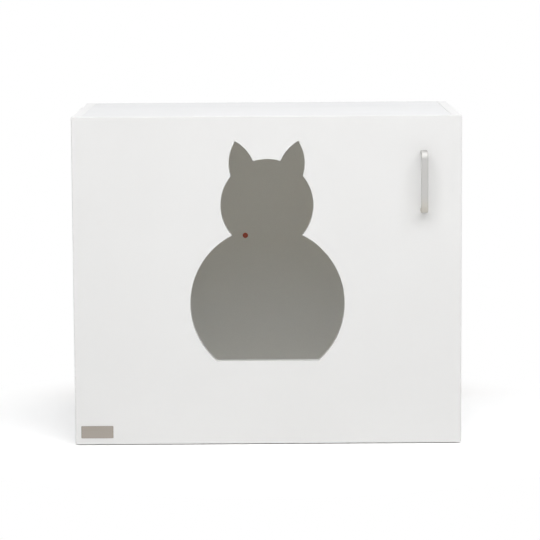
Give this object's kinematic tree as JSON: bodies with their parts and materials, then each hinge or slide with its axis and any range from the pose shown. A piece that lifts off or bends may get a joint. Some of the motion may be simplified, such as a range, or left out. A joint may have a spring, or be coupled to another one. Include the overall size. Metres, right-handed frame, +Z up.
{
  "type": "cat litter box cabinet",
  "caption": "White flat-pack cabinet that hides a cat litter tray, with a cat-shaped doorway cut through its hinged door and a bow handle.",
  "frame": {"origin": "on the floor, under the middle of the box that holds the whole cabinet with its handle", "axes": "+X to the right seen from the front, +Y towards the back, +Z up; the door faces -Y"},
  "size_m": [0.65, 0.4506, 0.5505],
  "materials": {
    "white_board": "white melamine-faced board, satin",
    "back_board": "thin white-faced hardboard, matte",
    "edge_band": "white edge strip, satin",
    "door_lacquer": "white lacquered fibreboard, satin",
    "satin_aluminium": "satin brushed",
    "nickel": "nickel-plated pressed steel",
    "steel": "zinc-plated steel",
    "zinc": "cast zinc, dull",
    "beech": "plain beech",
    "red_cap": "brown-red moulded cap",
    "white_plastic": "white moulded cap",
    "grey_plate": "warm grey satin plate, blank",
    "clear_rubber": "clear soft bumper"
  },
  "bodies": {
    "carcass": {"left_side_panel": "white_board", "right_side_panel": "white_board", "top_panel": "white_board", "bottom_panel": "white_board", "back_panel": "back_board", "fixing_hole_cap": "red_cap", "carcass_edge_bands": "edge_band", "cam_housings": "zinc", "cam_bolts": "steel", "wooden_dowels": "beech", "cam_cover_caps": "white_plastic", "lower_hinge_arm": "nickel", "upper_hinge_arm": "nickel", "lower_mounting_plate": "nickel", "upper_mounting_plate": "nickel", "arm_pins": "steel", "mounting_plate_screws": "steel", "arm_fixing_screws": "steel", "arm_adjusting_screws": "steel"},
    "short_links": {"lower_short_link": "nickel", "upper_short_link": "nickel"},
    "door": {"door_panel": "door_lacquer", "door_handle": "satin_aluminium", "handle_screws": "steel", "blank_plate": "grey_plate", "door_bumpers": "clear_rubber", "lower_hinge_cup": "nickel", "upper_hinge_cup": "nickel", "cup_pins": "steel", "cup_screws": "steel"},
    "long_links": {"lower_long_link": "nickel", "upper_long_link": "nickel"}
  },
  "joints": [
    {"name": "short_link_swing", "type": "hinge", "parent": "carcass", "child": "short_links", "pos_m": [-0.3, -0.18475, 0.275], "axis": [0, 0, 1], "range_deg": [0, 40.85]},
    {"name": "door_swing", "type": "hinge", "parent": "short_links", "child": "door", "pos_m": [-0.31265, -0.1849, 0.275], "axis": [0, 0, -1], "range_deg": [0, 135.95]},
    {"name": "long_link_swing", "type": "hinge", "parent": "carcass", "child": "long_links", "pos_m": [-0.292, -0.17345, 0.275], "axis": [0, 0, 1], "range_deg": [0, 34.3]}
  ],
  "couplings": [
    {"joint": "door_swing", "follows": "short_link_swing", "ratio": 3.3256},
    {"joint": "long_link_swing", "follows": "short_link_swing", "ratio": 0.83721}
  ]
}
